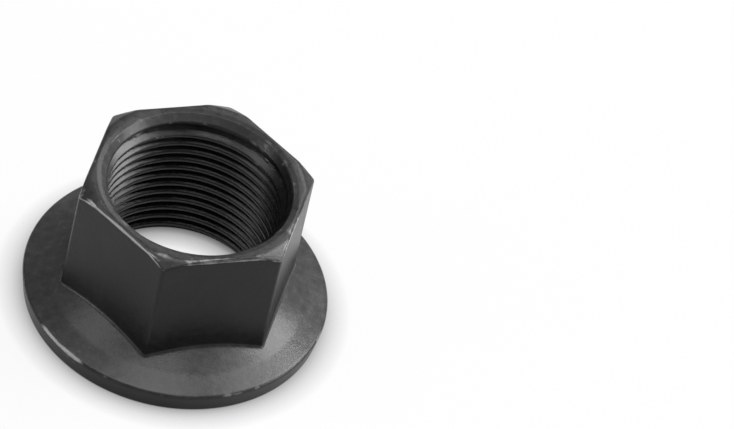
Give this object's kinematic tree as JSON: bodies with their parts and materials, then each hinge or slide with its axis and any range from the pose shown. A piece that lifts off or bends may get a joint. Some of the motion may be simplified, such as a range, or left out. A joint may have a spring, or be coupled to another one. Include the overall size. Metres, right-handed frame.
{
  "type": "axle nut",
  "caption": "Tall hexagonal axle nut with a conical flange under it, a fine thread through it and a countersink at each end.",
  "frame": {"origin": "middle of the bearing face of the flange, which the nut stands on", "axes": "+Z along the thread, from the bearing face to the top of the hexagon; the upright corners lie on +Y and -Y, and a flat faces +X"},
  "size_m": [0.0394, 0.0394, 0.0215],
  "materials": {
    "blackened_steel": "dark phosphated forged steel, satin, worn bright along the edges"
  },
  "bodies": {
    "root": {"axle_nut": "blackened_steel"}
  },
  "joints": []
}
